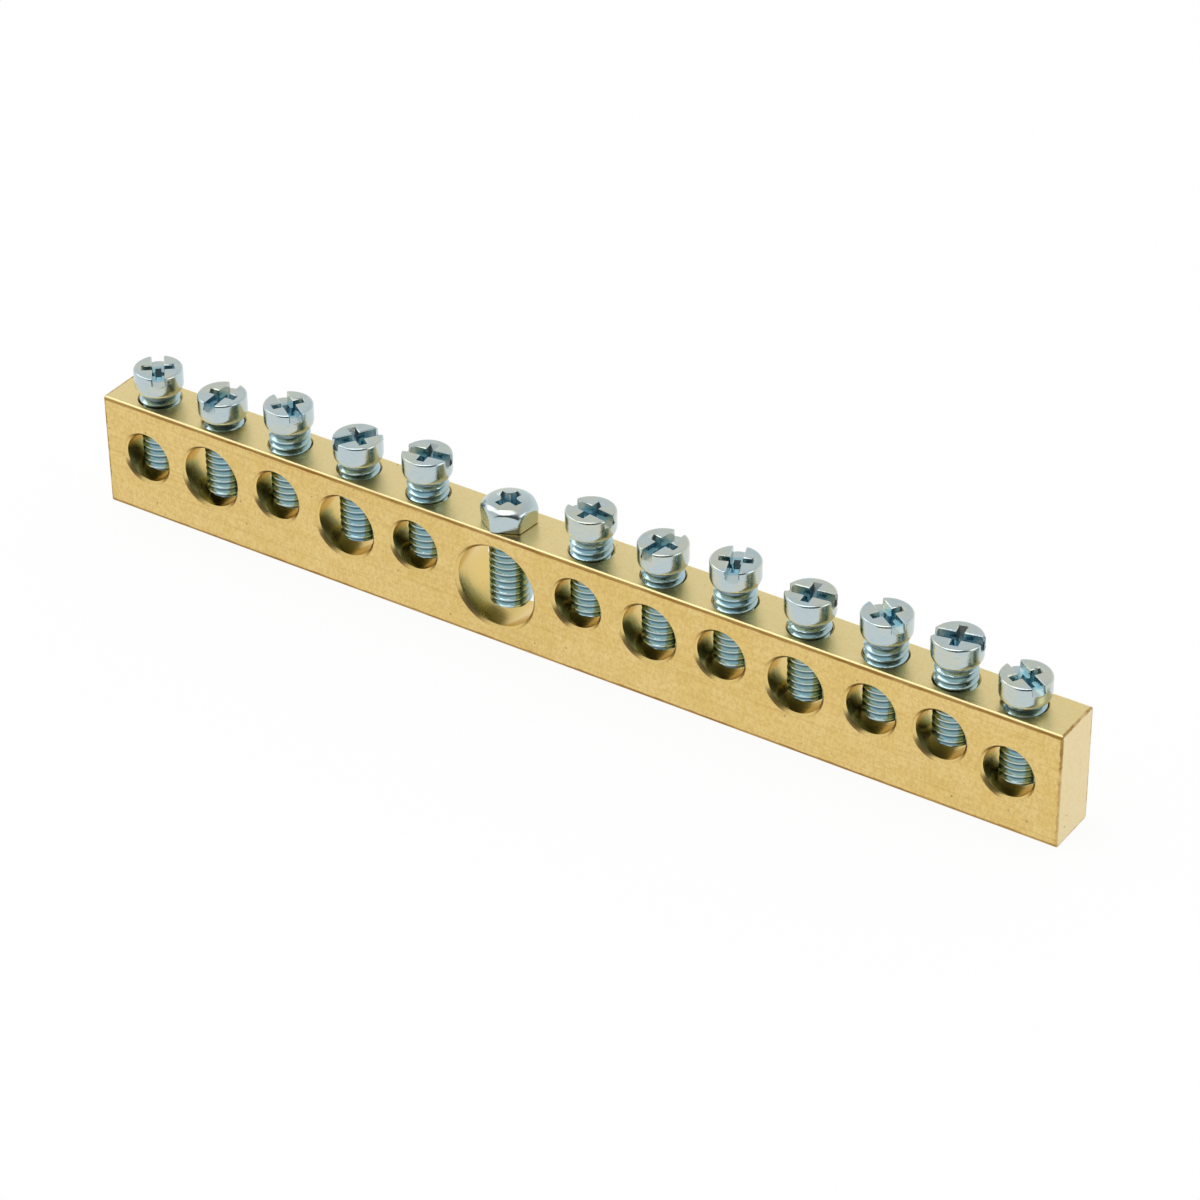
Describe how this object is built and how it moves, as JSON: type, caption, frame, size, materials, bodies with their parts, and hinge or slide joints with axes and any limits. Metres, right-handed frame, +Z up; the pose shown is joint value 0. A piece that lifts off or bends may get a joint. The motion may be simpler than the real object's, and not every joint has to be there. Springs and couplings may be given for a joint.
{
  "type": "bus bar",
  "caption": "Brass terminal bus bar with a row of cross bores for wires, each clamped by a plated steel screw driven from the top edge.",
  "frame": {"origin": "middle of the bar's narrow lower face, on which it stands", "axes": "+X along the bar to the right as seen from the front, +Y to the back, +Z up along the screws"},
  "size_m": [0.105, 0.0056, 0.0166],
  "materials": {
    "brass": "satin drawn brass, lightly tarnished at the edges",
    "plated_steel": "bright zinc plating with a pale blue passivation"
  },
  "bodies": {
    "bar": {"bar": "brass"},
    "terminal_screw_01": {"terminal_screw_01": "plated_steel"},
    "terminal_screw_02": {"terminal_screw_02": "plated_steel"},
    "terminal_screw_03": {"terminal_screw_03": "plated_steel"},
    "terminal_screw_04": {"terminal_screw_04": "plated_steel"},
    "terminal_screw_05": {"terminal_screw_05": "plated_steel"},
    "main_screw": {"main_screw": "plated_steel"},
    "terminal_screw_07": {"terminal_screw_07": "plated_steel"},
    "terminal_screw_08": {"terminal_screw_08": "plated_steel"},
    "terminal_screw_09": {"terminal_screw_09": "plated_steel"},
    "terminal_screw_10": {"terminal_screw_10": "plated_steel"},
    "terminal_screw_11": {"terminal_screw_11": "plated_steel"},
    "terminal_screw_12": {"terminal_screw_12": "plated_steel"},
    "terminal_screw_13": {"terminal_screw_13": "plated_steel"}
  },
  "joints": [
    {"name": "terminal_screw_01_travel", "type": "slide", "parent": "bar", "child": "terminal_screw_01", "axis": [0, 0, 1], "range_m": [-0.00012, 0.00425]},
    {"name": "terminal_screw_02_travel", "type": "slide", "parent": "bar", "child": "terminal_screw_02", "axis": [0, 0, 1], "range_m": [-0.00005, 0.00575]},
    {"name": "terminal_screw_03_travel", "type": "slide", "parent": "bar", "child": "terminal_screw_03", "axis": [0, 0, 1], "range_m": [-0.00012, 0.00425]},
    {"name": "terminal_screw_04_travel", "type": "slide", "parent": "bar", "child": "terminal_screw_04", "axis": [0, 0, 1], "range_m": [-0.0006, 0.0052]},
    {"name": "terminal_screw_05_travel", "type": "slide", "parent": "bar", "child": "terminal_screw_05", "axis": [0, 0, 1], "range_m": [-0.00005, 0.00432]},
    {"name": "main_screw_travel", "type": "slide", "parent": "bar", "child": "main_screw", "axis": [0, 0, 1], "range_m": [0, 0.00705]},
    {"name": "terminal_screw_07_travel", "type": "slide", "parent": "bar", "child": "terminal_screw_07", "axis": [0, 0, 1], "range_m": [-0.00005, 0.00432]},
    {"name": "terminal_screw_08_travel", "type": "slide", "parent": "bar", "child": "terminal_screw_08", "axis": [0, 0, 1], "range_m": [-0.00012, 0.00507]},
    {"name": "terminal_screw_09_travel", "type": "slide", "parent": "bar", "child": "terminal_screw_09", "axis": [0, 0, 1], "range_m": [-0.00012, 0.00425]},
    {"name": "terminal_screw_10_travel", "type": "slide", "parent": "bar", "child": "terminal_screw_10", "axis": [0, 0, 1], "range_m": [-0.00022, 0.00497]},
    {"name": "terminal_screw_11_travel", "type": "slide", "parent": "bar", "child": "terminal_screw_11", "axis": [0, 0, 1], "range_m": [-0.00012, 0.00425]},
    {"name": "terminal_screw_12_travel", "type": "slide", "parent": "bar", "child": "terminal_screw_12", "axis": [0, 0, 1], "range_m": [-0.00022, 0.00415]},
    {"name": "terminal_screw_13_travel", "type": "slide", "parent": "bar", "child": "terminal_screw_13", "axis": [0, 0, 1], "range_m": [-0.00005, 0.00432]}
  ]
}
